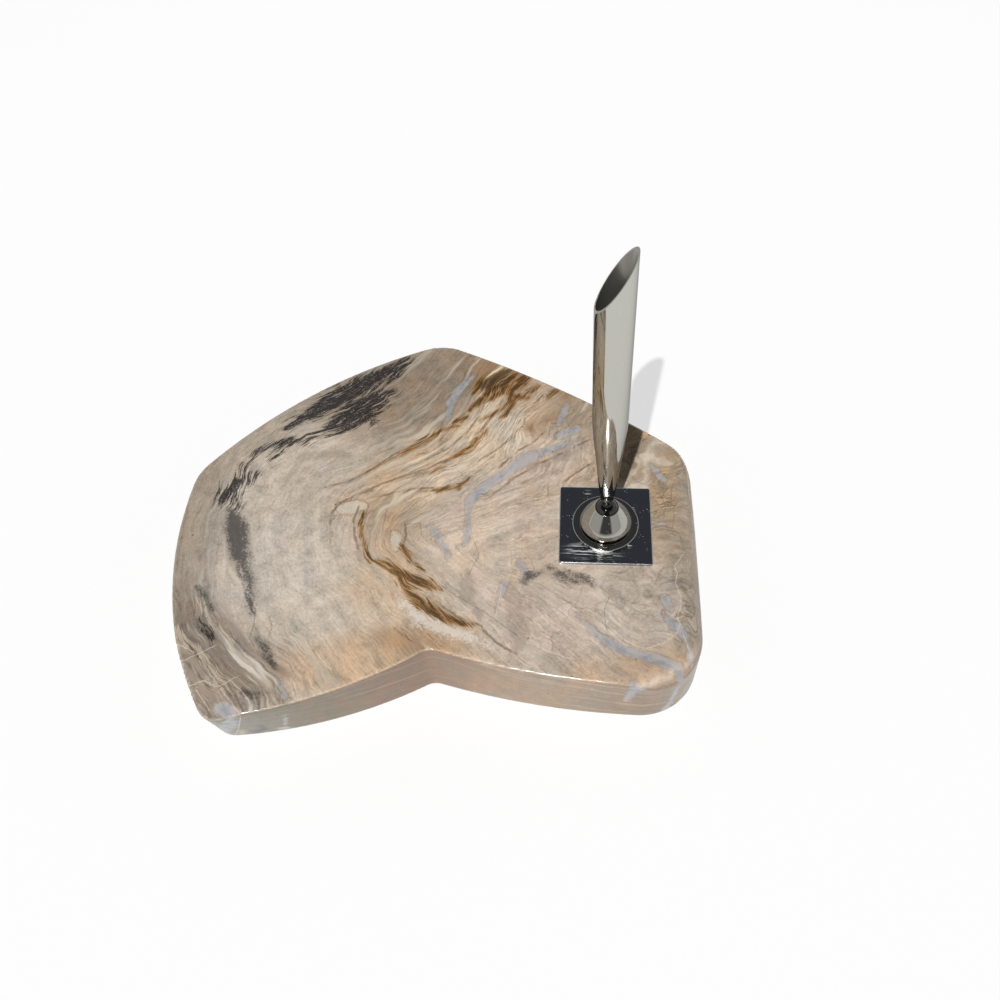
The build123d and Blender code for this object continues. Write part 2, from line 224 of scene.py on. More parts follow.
TOP_ZONES = {
    "pale middle": (-55, -28, 26, 34, 12, (199, 189, 176), 0.18, 0.0),
    "upper middle": (-45, 14, 30, 14, 20, (194, 181, 165), 0.4, 0.2),
    "taupe back": (-14, 58, 16, 24, -40, (132, 117, 100), 0.6, 0.2),
    "left rim": (-94, 0, 9, 45, 0, (146, 135, 121), 0.6, 0.2),
    "back left rim": (-66, 52, 40, 9, 45, (158, 147, 133), 0.8, 0.1),
    "brown front corner": (-82, -62, 12, 24, 25, (102, 91, 81), 1.6, 0.1),
    "striped front corner": (-62, -66, 12, 14, 30, (128, 117, 106), 1.8, 0.1),
    "pale front": (-47, -46, 17, 9, 12, (198, 185, 169), 0.3, 0.1),
    "tan front": (-24, -62, 26, 8, 10, (196, 164, 131), 0.9, 0.8),
    "notch stain": (-7, -56, 9, 4, -5, (104, 72, 30), 1.2, 1.0),
    "peach by the tip": (-22, -32, 12, 11, 0, (208, 183, 155), 0.7, 0.6),
    "tip": (-20, -8, 10, 14, 0, (170, 145, 117), 1.1, 0.8),
    "gold arm": (-12, 22, 28, 9, 42, (182, 153, 119), 1.7, 1.0),
    "cream arm": (18, 42, 32, 10, 48, (214, 196, 174), 1.6, 0.8),
    "brown back edge": (24, 68, 14, 8, -30, (98, 74, 44), 1.8, 1.0),
    "grey inside": (28, 12, 26, 9, 36, (192, 176, 162), 1.0, 0.5),
    "bright inside": (32, -12, 24, 11, 8, (210, 192, 174), 0.45, 0.5),
    "rose below plate": (48, -50, 22, 12, -15, (206, 190, 176), 0.6, 0.3),
    "grey below plate": (74, -42, 16, 10, 0, (190, 178, 165), 0.75, 0.2),
    "tan front right": (75, -64, 18, 6, 0, (190, 160, 130), 0.5, 0.8),
    "right rim": (98, -20, 6, 40, 0, (161, 148, 131), 1.2, 0.4),
    "tan back right": (88, 24, 14, 20, 0, (164, 140, 110), 1.5, 0.6),
    "tan back edge": (54, 54, 12, 8, -30, (164, 142, 117), 1.2, 0.6),
}
WALL_ZONES = {
    "front corner": (-66, -88, 14, 14, 0, (120, 116, 104), 0.25, 0.0),
    "left front": (-42, -84, 20, 14, 0, (90, 81, 55), 0.25, 0.2),
    "notch": (0, -68, 16, 12, 0, (83, 66, 47), 0.3, 0.5),
    "right front": (40, -72, 26, 12, 0, (164, 142, 118), 0.3, 0.4),
    "right corner": (78, -76, 14, 12, 0, (118, 98, 72), 0.3, 0.5),
    "right side": (100, -10, 14, 60, 0, (140, 126, 103), 0.4, 0.4),
    "back": (10, 75, 70, 25, 0, (138, 120, 99), 0.4, 0.6),
    "left": (-95, 0, 20, 60, 0, (138, 126, 111), 0.4, 0.2),
}
STONE, STONE_SHARE = ((192, 173, 151), 0.7, 0.4), 0.03


def blend_zones(zones):
    """Colour, strength of figure and warmth at each point, as the mean of the zones near it."""
    total = np.full(count, STONE_SHARE)
    values = np.outer(total, [*paint(*STONE[0]), *STONE[1:]])
    for x, y, reach_x, reach_y, turn, colour, figure, warmth in zones.values():
        dx, dy = flat[:, 0] - x, flat[:, 1] - y
        c, s = cos(radians(turn)), sin(radians(turn))
        share = np.exp(-(((dx * c + dy * s) / reach_x) ** 2) - ((dy * c - dx * s) / reach_y) ** 2)
        total += share
        values += np.outer(share, [*paint(*colour), figure, warmth])
    return values / total[:, None]


ground = blend_zones(TOP_ZONES) * (1 - wall[:, None]) + blend_zones(WALL_ZONES) * wall[:, None]
keep("ground", ground[:, :4], "FLOAT_COLOR")
keep("figure", ground[:, 4])
keep("warmth", ground[:, 5])
print("ground colours:", len(TOP_ZONES), "zones on the top,", len(WALL_ZONES), "on the walls")

# %% [markdown]
# ## The veins
# Minerals filled cracks and hollows of the wood: black soot-like patches, grey smoke, gold and brown
# iron stains, blue-grey chalcedony, cream layers, shaded lenses, chalky white bloom and two pebbles. Two
# pale blue-grey patches, one on the front wall and one on the ground corner, are painted highlights drawn
# as chalcedony. A vein is a few points with a half width each. Every point of the mesh gets its depth
# inside the nearest vein, negative outside, so that the material can fray the border with noise. A vein
# goes down through the slab, as a real one does.

# %% Soot and smoke: x, y and half width on the slab's top, in millimetres
SOOT = {
    "back patch": [
        (-19, 81, 1.5), (-26, 73, 3), (-35, 66, 5.5), (-44, 58, 6.5), (-50, 53, 5), (-57, 47, 2.5),
    ],
    "back patch edge": [(-47, 62, 2), (-53, 55, 3), (-60, 47, 2.5), (-66, 40, 1.5)],
    "inner patch": [(-29, 57, 3), (-36, 51, 6), (-44, 44, 5), (-52, 38, 1.6), (-58, 34, 2), (-62, 32, 2.5)],
    "patch bridge": [(-25, 61, 2), (-34, 57, 4), (-41, 53, 3.5), (-47, 50, 1.5)],
    "inner patch spread": [(-26, 54, 2), (-32, 48, 3), (-38, 43, 2.5), (-44, 38, 0.8)],
    "left run": [
        (-64, 33, 2), (-70, 31, 1.6), (-76, 27, 1.6), (-79, 20, 1.4), (-79, 14, 2), (-84, 8, 3), (-86, 3, 2),
    ],
    "run ticks": [(-66, 27, 0.8), (-69, 24, 0.5)],
    "low tick": [(-74, 16, 0.7), (-76, 12, 0.4)],
    "left spot": [(-79, 1, 1.8), (-80, 5, 1.5)],
    "rim streak": [(-83, -50, 0.5), (-77, -57, 0.9)],
}
SMOKE = {
    "left smear": [
        (-80.5, -3, 2.4), (-78.5, -8, 4.2), (-76, -14, 4.2),
        (-74, -20, 3.6), (-71, -27, 2.6), (-68, -33, 2.2),
    ],
    "left smear end": [(-68, -33, 1.7), (-65.5, -40, 1.9), (-63, -46, 1)],
    "rim fleck": [(-86, -37, 0.6), (-82, -41, 1.3), (-79, -45, 0.6)],
    "front fleck": [(-60, -57, 0.7), (-57, -60, 1.5), (-53, -65, 1.1), (-51, -69, 0.3)],
    "ridge fleck": [(-60, -78, 0.8), (-55, -79, 1)],
    "plate wisp": [(43, -24, 1), (48, -26.5, 1.7), (54, -30.5, 1)],
    "plate wisp far": [(50, -25.5, 0.8), (55, -28, 1.4), (60, -31, 0.6)],
    "plate wisp low": [(45, -27.5, 0.7), (52, -32.5, 0.9)],
    "plate wisp root": [(35, -30, 1.3), (38, -28, 1.2), (42, -26.5, 0.8)],
}

# %% Gold and brown iron stains
GOLD = {
    "back edge": [(10, 61, 1.4), (14, 66, 3.4), (20, 70, 3.6), (26, 74, 2.6)],
    "back edge rise": [(16, 60.5, 1.2), (19, 64.5, 2), (22.5, 67, 2.2), (26, 70, 1.8)],
    "back edge sliver": [(24.5, 65.5, 1), (20.5, 61, 1.4), (18, 58, 0.8)],
    "back edge top": [(32, 70.5, 2.2), (29.5, 68, 2)],
    "back edge middle": [(31.5, 67, 1.7), (28, 64.5, 2.2), (25.5, 63, 1.2)],
    "back edge bar": [(33, 59, 1.2), (29, 59.5, 1.7), (26, 60.3, 2.2)],
    "back edge fall": [(26, 61, 2.2), (26.6, 55, 2), (25, 50.5, 1.5), (22, 47.5, 0.8)],
    "back edge tail": [(24.5, 55, 1.2), (20, 50, 1.3), (14, 46, 0.6)],
    "back edge ticks": [(38, 65.5, 1.4), (34.5, 62.5, 1.1), (31, 60, 0.6)],
    "back edge notch": [(44.5, 62.8, 1.5), (43, 61, 1.3), (42, 58.8, 0.7)],
    "back edge side": [(13.5, 58, 1.5), (11.5, 55, 1.4), (9.5, 52, 0.9)],
    "back edge foot": [(7.5, 47.5, 1), (3, 45, 0.9)],
    "arm line": [(-36, 13, 0.1), (-22, 24, 0.4), (-9, 34.5, 1), (0, 41, 0.6), (4, 43, 0.1)],
    "arm line inside": [(-14, 9, 0.5), (0, 9.5, 0.8), (7, 11, 1), (16, 20, 0.3)],
    "arm line middle": [(-10, 16, 0.4), (-3, 19, 0.7), (8, 29, 0.5), (14, 36, 0.8), (18, 42, 0.3)],
    "tip bend": [(-28, -2, 0.4), (-29.5, -6, 0.7), (-28, -12, 0.9), (-25.5, -18, 0.7), (-23, -24, 0.5)],
    "dark splash": [
        (-21, -23, 0.8), (-17, -25, 1), (-12, -28, 1.3), (-5, -31, 2.2), (0, -33, 1.9), (4, -35, 0.6),
    ],
    "dark splash foot": [
        (-11, -31, 0.6), (-7, -36, 1.4), (-2, -41, 2.2), (4, -45, 2.2), (11, -48, 1.5), (18, -49, 0.5),
    ],
    "short streak": [(-12, -17, 0.8), (-8, -22, 1.2), (-3, -27, 0.4)],
}

# %% Chalcedony with two painted highlights, cream, shade, bloom and pebbles
BLUE = {
    "back vein": [(0, 46, 0.8), (1, 55, 1.6), (3, 62, 1.8), (6, 67, 1.2), (9, 71, 0.5)],
    "long vein": [
        (13, 4, 1.4), (15, 8, 2), (20, 14, 1.7), (27, 20, 1.6), (33, 26, 2.6), (41, 30, 1.6), (56, 37, 0.5),
    ],
    "long vein head": [(46, 38, 1), (50, 40, 1.8), (54, 42, 1.8)],
    "edge pocket": [(47, 45, 1), (49, 50, 1.6), (50, 55, 0.8)],
    "long vein tail": [(12.7, 3, 1), (12.4, -3, 0.6), (12.8, -9, 1.1), (12, -15, 0.7)],
    "tip vein": [(-2, -7, 0.6), (1, -11, 1.2), (4, -16, 1.1), (6, -21, 0.4)],
    "plate vein": [(33, -22, 0.7), (35, -26, 1.1), (36, -30, 0.8)],
    "lens vein": [(28, -32, 0.9), (26, -38, 0.5), (25, -44, 0.2)],
    "front vein": [
        (54, -43, 0.3), (60, -49.5, 1), (65, -54, 1.4), (71, -57.5, 1.5), (80, -60, 1.8), (90, -63, 1.8),
    ],
    "front vein end": [(90, -63, 1.8), (94, -67, 0.6)],
    "right spots": [(86, -36, 1.2), (88, -41, 0.6)],
    "right pocket": [(87, -45, 1), (90, -48, 1.7), (93, -52, 1)],
    "right corner": [(94, -55, 0.7), (95, -59, 1.1)],
    "back right spot": [(84, 24, 0.5), (86, 20, 1), (88, 17, 0.8)],
    "right sliver": [(83, -4, 0.6), (88, -4, 0.5)],
    # Painted highlights: these two pale blue-grey patches are glints of light on the front wall and the
    # ground facet.
    "wall glint": [(74, -69, 1.2), (79, -73, 2.2)],
    "ground facet glint": [(-67, -83, 2), (-63, -85, 2)],
    "ridge vein": [(-48, -73, 0.7), (-46, -79, 0.8)],
    "crossing fleck": [(18, -43, 0.7), (20, -47, 0.5)],
}
CREAM = {
    "arm": [(-28, 9, 0.8), (-14, 13, 1.2), (0, 17, 1.2), (12, 25, 1.5), (22, 34, 1)],
    "arm upper": [(2, 33, 0.8), (10, 43, 1.5), (18, 53, 1.8), (22, 60, 0.8)],
    "corner stripe": [(-85, -42, 0.4), (-76, -53, 0.6), (-66, -62, 0.7), (-56, -71, 0.6), (-48, -77, 0.3)],
    "corner stripe low": [(-90, -55, 0.6), (-80, -62, 0.8), (-72, -70, 0.8), (-62, -80, 0.6)],
    "corner arc": [(-54, -42, 0.4), (-48, -54, 1), (-40, -62, 1), (-33, -67, 0.5)],
    "right arm": [(34, 36, 1), (44, 36, 1.4), (52, 33, 0.8)],
}
SHADE = {
    "under the long vein": [(36, 21, 0.6), (42, 24, 1.9), (48, 28, 2), (56, 32, 0.9)],
    "lens": [(30, -31, 1), (31, -38, 3), (33, -46, 4), (34, -52, 4), (34, -57, 2)],
    "small lens": [(14, -26, 1), (14, -32, 3.3), (15, -38, 3), (17, -41, 1.2)],
    "corner band": [(-88, -50, 2), (-80, -58, 2.6), (-72, -64, 2.8), (-64, -70, 2.8), (-57, -77, 2.4)],
    "corner band inside": [
        (-82, -43, 0.8), (-72, -52, 1.3), (-62, -60, 1.1), (-50, -68, 1), (-38, -74, 0.6),
    ],
    "beside the smear": [(-81, -12, 1.5), (-77, -22, 2.5), (-72, -31, 1.5)],
    "taupe hook": [(-62, 10, 0.8), (-57, 25, 2), (-42, 27, 2), (-36, 24, 0.8)],
}
BLOOM = {
    "below the splash": [(-8, -41, 2), (-2, -47, 3), (6, -51, 3), (14, -53, 2), (22, -56, 1)],
}
PEBBLE = {
    "tip pebble": [(-37, -0.5, 2), (-33, 1, 2.8), (-29.5, 1.5, 2)],
    "inner pebble": [(-15.5, -11, 1.4), (-14.5, -14, 2), (-14, -17, 1.4)],
}

# %% Depth inside the veins
OUTSIDE = -9.0
VEIN_SLANT, VEIN_DRIFT = (0.12, 0.2), 0.12
lie = spots[:, :2] + np.outer(depth_below, VEIN_SLANT) + drift[:, :2] * VEIN_DRIFT


def offset_from(start, end):
    """Share of the way from start to end nearest to each point, and the offset from there."""
    run = np.subtract(end, start)
    share = np.clip((lie - start) @ run / (run @ run), 0, 1)
    return share, lie - start - np.outer(share, run), run


def vein_depth(veins):
    """How deep each point lies inside the nearest of the veins, in millimetres, negative outside."""
    deepest = np.full(count, OUTSIDE)
    for path in veins.values():
        for (*start, start_half), (*end, end_half) in zip(path, path[1:]):
            share, offset, _ = offset_from(start, end)
            inside = start_half + (end_half - start_half) * share - np.hypot(*offset.T)
            deepest = np.maximum(deepest, inside)
    return deepest


VEINS = {
    "soot": SOOT, "smoke": SMOKE, "gold": GOLD, "blue": BLUE, "cream": CREAM, "shade": SHADE, "bloom": BLOOM,
    "pebble": PEBBLE,
}
for name, veins in VEINS.items():
    inside = vein_depth(veins)
    keep(name, inside)
    print(name, "covers", round(100 * (inside > 0).mean(), 1), "% of the slab")

# %% [markdown]
# ## The hairlines
# Fine lines are thinner than the mesh's faces, so a plain distance would break up into beads. The
# signed side of a line, left or right, passes through zero inside a face, and stays sharp however
# coarse the mesh is. A second value says how far the nearest line is, so that only real ones show.

# %% Brown iron lines: x and y on the slab's top, in millimetres
UMBER = [
    [(-45, 10), (-36, 13), (-28, 19), (-20, 26.5), (-14, 31), (-8, 35), (-2, 39.5), (3, 42.5)],
    [(-30, 8), (-22, 12.5), (-12, 17), (-4, 20.5), (4, 27), (8, 30)],
    [(-24, 6), (-14, 9), (-6, 10), (2, 10.5), (8, 12)],
    [(-6, 25), (2, 31), (9, 40), (13, 48), (15, 54)],
    [(8, 30), (11, 35), (14.5, 41), (18.5, 49), (22.5, 57)],
    [(3, 45), (8, 51), (12, 58), (17, 66)],
    [(15, 25), (22, 31), (27, 37), (33, 45), (33, 50), (37, 57), (40, 61)],
    [(24, 22), (31, 31), (38, 36), (41, 40)],
    [(18, 8), (21, 7), (24, 10), (30, 17), (38, 22.5), (47, 28.5), (60, 36)],
    [(50, 15), (55, 20), (60, 24)],
    [(20, -50), (26, -55), (33, -59)],
    [(0, -38), (6, -42), (12, -46), (20, -49)],
    [(-31, 1), (-32.5, -5), (-31.5, -12), (-29, -19)],
    [(-41, -7), (-41, -2), (-38, 3), (-32, 7), (-26, 9)],
    [(-12, -7), (-11, -12), (-12, -17), (-9, -21), (-6, -24), (-3, -27)],
    [(42, 60), (43, 63), (45, 64)],
    [(33, 64), (38, 67)],
]

# %% Grey cracks and healed cracks
CRACKS = [
    [(-63, -46), (-62, -50), (-62.5, -55)],
    [(-57, -48), (-55.5, -52), (-56, -57)],
    [(-49, 19), (-44, 22)],
    [(-76, 11), (-68, 9)],
    [(36, -30.5), (41, -32), (47, -36), (56, -43)],
    [(63, -33), (66, -36), (64, -42), (65, -49)],
    [(4, -33), (10, -37), (17, -41), (24, -46), (33, -52)],
    [(83, -31), (86, -25), (90, -24), (90, -30), (84, -31)],
    [(66, -36), (74, -39), (82, -40)],
    [(-12, 32), (-4, 40), (2, 50)],
    [(93, -33), (98, -34)],
    [(-20, 0), (-21, -8), (-20, -14), (-18, -18), (-15, -21)],
    [(-11, -7), (-6, -6), (-5, -11), (-6, -13)],
    [(16, -14), (18, -20), (14, -28)],
    [(75, 40), (77, 36), (81, 37), (85, 36)],
    [(78, 35), (77, 30), (75, 26), (76, 22)],
    [(75, 19), (78, 15), (83, 13.5), (90, 12)],
    [(84, 12), (87, 8), (88, 3), (86, -2)],
    [(91, 14), (90, 6), (91, 0), (90, -8)],
    [(92, 3), (96, 4)],
    [(92, 0), (97, 1)],
    [(90, -6), (93, -10), (94, -16), (97, -14)],
    [(-38, 3), (-30, 5), (-27, 2), (-28, -3)],
    [(-2, -49), (3, -55)],
]
HEALED = [
    [(94, -18), (92.5, -21), (90.5, -23.5), (91.5, -27), (90.5, -31), (92, -36), (91.5, -40)],
    [(91.5, -40), (90, -44), (91, -47), (90, -50.5), (86, -54), (80, -56)],
    [(92, -51), (95, -58)],
    [(-87, -60), (-79, -64), (-73, -71), (-66, -79), (-60, -85)],
    [(-83, -75), (-75, -73), (-69, -76), (-64, -72)],
    [(-77, -76), (-71, -83)],
    [(-84, -66), (-79, -64), (-74, -60)],
    [(9, -20), (14, -15), (19, -11)],
    [(27, -33), (25, -45)],
    [(38, -55), (45, -58.5), (52, -61)],
    [(-45, 17), (-35, 21)],
]

# %% Sides of the lines
FAR, LINE_DRIFT = 4.0, 0.3


def line_sides(lines):
    """Signed side of the nearest line and the plain distance to it, in millimetres."""
    near, side = np.full(count, FAR), np.full(count, FAR)
    for line in lines:
        for start, end in zip(line, line[1:]):
            _, offset, run = offset_from(start, end)
            away = np.hypot(*offset.T)
            closer = away < near
            near = np.where(closer, away, near)
            side = np.where(closer, np.copysign(away, run[0] * offset[:, 1] - run[1] * offset[:, 0]), side)
    return side, near


lie += drift[:, :2] * LINE_DRIFT
for name, lines in {"umber": UMBER, "crack": CRACKS, "healed": HEALED}.items():
    side, near = line_sides(lines)
    keep(name + "_side", side)
    keep(name + "_near", near)
    print(name, "lines:", len(lines))

# %% [markdown]
# ## Words for wiring materials
# A material is a small web of nodes. Wiring it needs the same few moves again and again, so they get
# short names: add a node, feed a socket with a number or a link, lay one colour over another, and so on.


# %% Wiring
class Wiring:
    """Short words for the nodes of one material, group or world."""

    def __init__(self, tree):
        self.tree = tree

    def feed(self, sockets, inputs):
        """Give each named socket its number, its colour or its link."""
        for name, value in inputs.items():
            if isinstance(value, bpy.types.NodeSocket):
                self.tree.links.new(value, sockets[name])
            else:
                sockets[name].default_value = value

    def add(self, kind, inputs=None, **settings):
        node = self.tree.nodes.new("ShaderNode" + kind)
        for name, value in settings.items():
            setattr(node, name, value)
        self.feed(node.inputs, inputs or {})
        return node

    def sum(self, how, first, second=0.0, third=0.0):
        return self.add("Math", {0: first, 1: second, 2: third}, operation=how).outputs[0]

    def vector(self, how, *values):
        node = self.add("VectorMath", dict(enumerate(values)), operation=how)
        return node.outputs["Value" if how == "LENGTH" else "Vector"]

    def times(self, value, *others):
        for other in others:
            value = self.sum("MULTIPLY", value, other)
        return value

    def plus(self, value, *parts):
        """The value plus each part times its amount: part, amount, part, amount and so on."""
        for part, amount in zip(parts[::2], parts[1::2]):
            value = self.sum("MULTIPLY_ADD", part, amount, value)
        return value

    def sway(self, value, *waves):
        """The same with waves that lie about 0.5, so that they move the value up and down."""
        for wave, amount in zip(waves[::2], waves[1::2]):
            value = self.plus(value, self.sum("SUBTRACT", wave, 0.5), amount)
        return value

    def rise(self, value, low, high):
        """Smooth climb from 0 at low to 1 at high."""
        inputs = {"Value": value, "From Min": low, "From Max": high}
        return self.add("MapRange", inputs, interpolation_type="SMOOTHSTEP").outputs[0]

    def line(self, value, middle, outer, inner):
        """A line where the value passes the middle: 0 from outer away and 1 from inner in."""
        return self.rise(self.sum("ABSOLUTE", self.sum("SUBTRACT", value, middle)), outer, inner)

    def mix(self, share, under, over, how="MIX"):
        node = self.add("Mix", {0: share, 6: under, 7: over}, data_type="RGBA", blend_type=how)
        return node.outputs[2]

    def lay(self, colour, tone, *shares):
        """The colour with a paint laid over it, as thick as the product of the shares."""
        return self.mix(self.times(*shares), colour, paint(*tone))

    def noise(self, place, scale, detail=3.0, roughness=0.5, distortion=0.0):
        inputs = {"Scale": scale, "Detail": detail, "Roughness": roughness, "Distortion": distortion}
        return self.add("TexNoise", {"Vector": place, **inputs}).outputs["Fac"]

    def stretch(self, place, x, y, z):
        return self.vector("MULTIPLY", place, (x, y, z))

    def bump(self, height, strength, distance):
        inputs = {"Height": height, "Strength": strength, "Distance": distance}
        return self.add("Bump", inputs).outputs[0]

    def kept(self, name, output="Fac"):
        return self.add("Attribute", attribute_name=name).outputs[output]

    def millimetres(self):
        """The point on the object, in millimetres."""
        return self.stretch(self.add("TexCoord").outputs["Object"], 1000, 1000, 1000)

    def seen(self):
        """1 for a ray by which the camera sees something, straight on, in a mirror or through glass."""
        rays = self.add("LightPath").outputs
        through = self.sum("MAXIMUM", rays["Is Glossy Ray"], rays["Is Transmission Ray"])
        return self.sum("MAXIMUM", rays["Is Camera Ray"], through)


def new_material(name):
    """An empty material with its surface shader, ready for wiring."""
    material = bpy.data.materials.new(name)
    material.use_nodes = True
    return material, Wiring(material.node_tree), material.node_tree.nodes["Principled BSDF"]


# %% [markdown]
# ## The stone
# Three noises are stretched along the grain: broad, medium and fine. They shade the ground colours,
# draw streaks and fray the borders of the veins, so that everything on the stone follows one grain.
# A sawtooth of the two broader ones gives crisp growth rings: dark on one side, fading to the other.

# %% Stone: noises along the grain
stone, wire, shader = new_material("petrified_wood")
place = wire.millimetres()
grain = wire.add("SeparateXYZ", {0: wire.kept("grain", "Vector")}).outputs
ring = wire.sway(grain[0], wire.noise(place, 0.045, 2.0), 9.0, wire.noise(place, 0.17, 2.0), 1.8)
fibre, slope = wire.times(grain[1], 0.07), wire.times(grain[2], 0.05)
flow = wire.add("CombineXYZ", {0: ring, 1: fibre, 2: slope}).outputs[0]
bands = wire.noise(flow, 0.16, 3.0, 0.55)
medium = wire.noise(flow, 0.45, 4.0, 0.6)
fine = wire.noise(flow, 1.8, 4.0, 0.6)
mottle = wire.noise(place, 0.2, 5.0, 0.65)
grit = wire.noise(place, 0.75, 4.0, 0.7)
speck = wire.noise(place, 1.6, 6.0, 0.75)
cloud = wire.noise(place, 0.05, 4.0, 0.6)
layers = wire.sum("FRACT", wire.plus(0.0, bands, 7.0, medium, 3.0))
figure, warmth, side = wire.kept("figure"), wire.kept("warmth"), wire.kept("wall")
print("stone: noises wired")

# %% Stone: shades and streaks of the wood
swing = wire.sway(0.0, bands, 1.2, medium, 1.4, layers, 0.14, fine, 1.8)
plain = wire.sway(1.0, mottle, wire.plus(1.1, side, 0.2))
plain = wire.sway(plain, bands, 1.0, grit, 0.75, speck, 0.8)
tone = wire.plus(plain, swing, figure)
shades = wire.add("CombineColor", {0: tone, 1: tone, 2: tone}).outputs[0]
colour = wire.mix(1.0, wire.kept("ground", "Color"), shades, "MULTIPLY")
tint = wire.rise(wire.noise(place, 0.07, 3.0, 0.6), 0.38, 0.62)
tinted = wire.plus(0.06, warmth, 0.3)
colour = wire.mix(tinted, colour, wire.mix(tint, paint(214, 178, 144), paint(164, 158, 146)))
wall_tint = wire.rise(wire.sway(warmth, wire.noise(place, 0.15, 4.0, 0.65), 2.5), 0.1, 0.6)
wall_colour = wire.mix(wall_tint, paint(112, 108, 90), paint(138, 105, 84))
colour = wire.mix(wire.times(side, 0.45), colour, wall_colour)
streaks = wire.sway(bands, medium, 0.9)
dark_streak = wire.times(wire.rise(streaks, 0.54, 0.72), wire.rise(cloud, 0.34, 0.6), figure, 0.75)
colour = wire.mix(dark_streak, colour, wire.mix(warmth, paint(132, 122, 111), paint(164, 124, 82)))
pale_streak = wire.times(wire.rise(streaks, 0.46, 0.28), figure, 0.7)
colour = wire.mix(pale_streak, colour, wire.mix(warmth, paint(214, 206, 194), paint(228, 208, 181)))
ring_shown = wire.rise(wire.noise(flow, 0.05, 2.0), 0.46, 0.6)
ring_line = wire.line(streaks, 0.53, 0.016, 0.0)
colour = wire.lay(colour, (112, 88, 64), ring_line, ring_shown, figure, 0.7)
colour = wire.lay(colour, (112, 98, 82), wire.rise(speck, 0.6, 0.72), 0.4)
pits = wire.add("TexVoronoi", {"Vector": place, "Scale": 0.13})
pit_shown = wire.rise(wire.add("SeparateColor", {0: pits.outputs["Color"]}).outputs[0], 0.7, 0.72)
colour = wire.lay(colour, (84, 76, 68), wire.rise(pits.outputs["Distance"], 0.075, 0.045), pit_shown, 0.65)
print("stone: wood wired")

# %% Stone: cells on the right-hand side
CELL_SCALE, CELL_BEND = 0.075, (14, 14, 14)
wave = wire.add("TexNoise", {"Vector": place, "Scale": 0.08}).outputs["Color"]
bent = wire.vector("MULTIPLY_ADD", wave, CELL_BEND, place)
cell = {"Vector": bent, "Scale": CELL_SCALE}
border = wire.add("TexVoronoi", cell, feature="DISTANCE_TO_EDGE").outputs["Distance"]
cell_grey = wire.add("SeparateColor", {0: wire.add("TexVoronoi", cell).outputs["Color"]}).outputs[0]
right = wire.rise(wire.add("SeparateXYZ", {0: place}).outputs[0], 15.0, 45.0)
cell_line = wire.times(wire.rise(border, 0.022, 0.004), right, wire.rise(cloud, 0.42, 0.62))
colour = wire.lay(colour, (122, 106, 90), cell_line, 0.5)
colour = wire.lay(colour, (128, 116, 104), right, cell_grey, 0.24)
print("stone: cells wired")

# %% [markdown]
# ## Veins and lines on the stone
# Each kind of vein is one mask: the kept depth plus noise, cut off at zero. The noise along the grain
# draws the border out into feathers, and the even noise makes it lumpy. The soft and pale ones are laid
# first and the darkest last, and the hairlines come on top of them all.

# %% Stone: soft and pale veins
lumps = wire.noise(place, 0.35, 4.0, 0.6)
shade = wire.rise(wire.sway(wire.kept("shade"), mottle, 5.0, medium, 5.0), -0.6, 0.9)
colour = wire.lay(colour, (138, 123, 108), shade, 0.36)
cream = wire.rise(wire.sway(wire.kept("cream"), medium, 9.0, fine, 7.0), -0.8, 1.2)
colour = wire.lay(colour, (222, 204, 181), cream, 0.48)
bloom = wire.rise(wire.sway(wire.kept("bloom"), speck, 13.0, mottle, 11.0), -1.2, 2.4)
colour = wire.lay(colour, (222, 212, 200), bloom, 0.75)
pebble = wire.sway(wire.kept("pebble"), lumps, 4.0, speck, 2.5)
colour = wire.lay(colour, (214, 206, 190), wire.rise(pebble, -0.6, 0.7), 0.55)
colour = wire.lay(colour, (132, 100, 68), wire.line(pebble, -0.5, 0.6, 0.1), 0.25)
blue = wire.sway(wire.kept("blue"), lumps, 2.6, medium, 3.4, speck, 1.6)
colour = wire.lay(colour, (124, 110, 98), wire.line(blue, -0.4, 0.5, 0.1), 0.3)
clear = wire.rise(wire.sway(lumps, medium, 0.8), 0.35, 0.65)
blue_colour = wire.mix(clear, paint(137, 145, 158), paint(174, 173, 174))
colour = wire.mix(wire.times(wire.rise(blue, -0.7, 0.8), 0.75), colour, blue_colour)
print("stone: pale veins wired")

# %% Stone: gold, smoke and soot
gold = wire.sway(wire.sum("MINIMUM", wire.kept("gold"), 2.6), medium, 6.0, fine, 5.0)
gold_core = wire.rise(wire.sway(gold, speck, 3.0, fine, 3.0), 0.3, 1.7)
gold_colour = wire.mix(gold_core, paint(152, 110, 56), paint(70, 44, 8))
colour = wire.mix(wire.times(wire.rise(gold, -0.8, 0.7), 0.9), colour, gold_colour)
smoke = wire.sway(wire.kept("smoke"), mottle, 7.0, medium, 5.0, speck, 9.0)
smoke_gap = wire.rise(wire.sway(speck, smoke, -0.05), 0.56, 0.7)
smoke_colour = wire.mix(smoke_gap, paint(70, 67, 66), paint(190, 184, 176))
colour = wire.mix(wire.times(wire.rise(smoke, -1.6, 2.0), 0.88), colour, smoke_colour)
soot = wire.sway(wire.sum("MINIMUM", wire.kept("soot"), 4.5), medium, 14.0, fine, 11.0)
soot_gap = wire.rise(wire.sway(fine, speck, 0.9), 0.58, 0.74)
soot_colour = wire.mix(soot_gap, paint(38, 36, 37), paint(150, 143, 136))
colour = wire.mix(wire.times(wire.rise(soot, -0.8, 1.0), 0.93), colour, soot_colour)
print("stone: dark veins wired")

# %% Stone: hairlines and painted highlight on the ridge
ragged = wire.noise(place, 0.8, 3.0)


def hairline(name, width):
    """Mask of a set of thin lines, a little ragged, fading where no line is near."""
    drawn = wire.line(wire.sway(wire.kept(name + "_side"), ragged, 1.1), 0.0, width, width * 0.3)
    return wire.times(drawn, wire.rise(wire.kept(name + "_near"), 1.5, 1.0))


